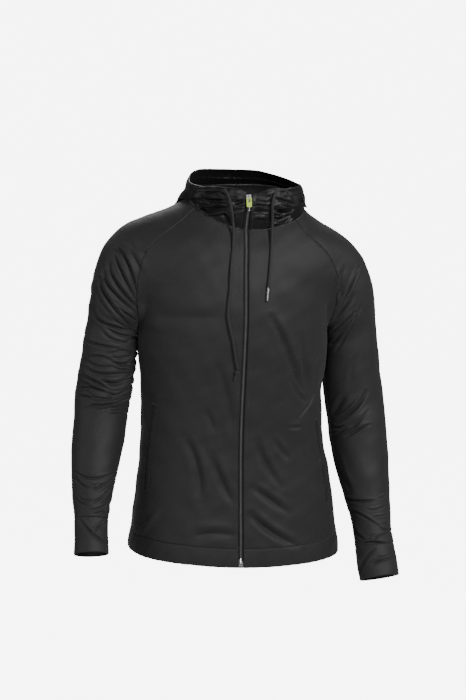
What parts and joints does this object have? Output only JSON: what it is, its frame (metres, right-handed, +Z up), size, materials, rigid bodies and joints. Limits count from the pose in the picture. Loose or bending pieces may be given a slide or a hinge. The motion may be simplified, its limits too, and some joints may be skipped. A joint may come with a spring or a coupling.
{
  "type": "hooded track jacket",
  "caption": "Hooded track jacket in worn form, with raglan sleeves, a full front zip, a hanging hood with drawcords, and slanted side pockets.",
  "frame": {"origin": "middle of the neck opening at the base of the neck, where the wearer's shoulders carry the jacket", "axes": "+Z up; -Y is the wearer's front with the zip; +X is the wearer's left arm"},
  "size_m": [0.5693, 0.2976, 0.7189],
  "materials": {
    "black_tricot": "smooth knitted tricot with a soft sheen",
    "zip_tape": "woven tape, matt",
    "zip_coil": "moulded coil",
    "dull_nickel": "dull plated metal",
    "lime_grip": "moulded, satin",
    "braided_cord": "round braid"
  },
  "bodies": {
    "jacket": {"front_right": "black_tricot", "front_left": "black_tricot", "back": "black_tricot", "sleeve_right": "black_tricot", "sleeve_left": "black_tricot", "cuff_right": "black_tricot", "cuff_left": "black_tricot", "hem_band": "black_tricot", "hood_right": "black_tricot", "hood_left": "black_tricot", "pocket_welt_right": "black_tricot", "pocket_welt_left": "black_tricot", "zip_tape_right": "zip_tape", "zip_tape_left": "zip_tape", "zip_teeth": "zip_coil", "zip_stop": "dull_nickel", "zip_slider": "dull_nickel", "cord_tip_left": "dull_nickel", "drawcord_right": "braided_cord", "drawcord_left": "braided_cord", "cord_knot_right": "braided_cord"},
    "zip_pull": {"zip_pull": "lime_grip"}
  },
  "joints": [
    {"name": "pull_tab_swing", "type": "hinge", "parent": "jacket", "child": "zip_pull", "pos_m": [0.013, -0.08116, 0.00209], "axis": [-1, 0, 0], "range_deg": [0, 170]}
  ]
}
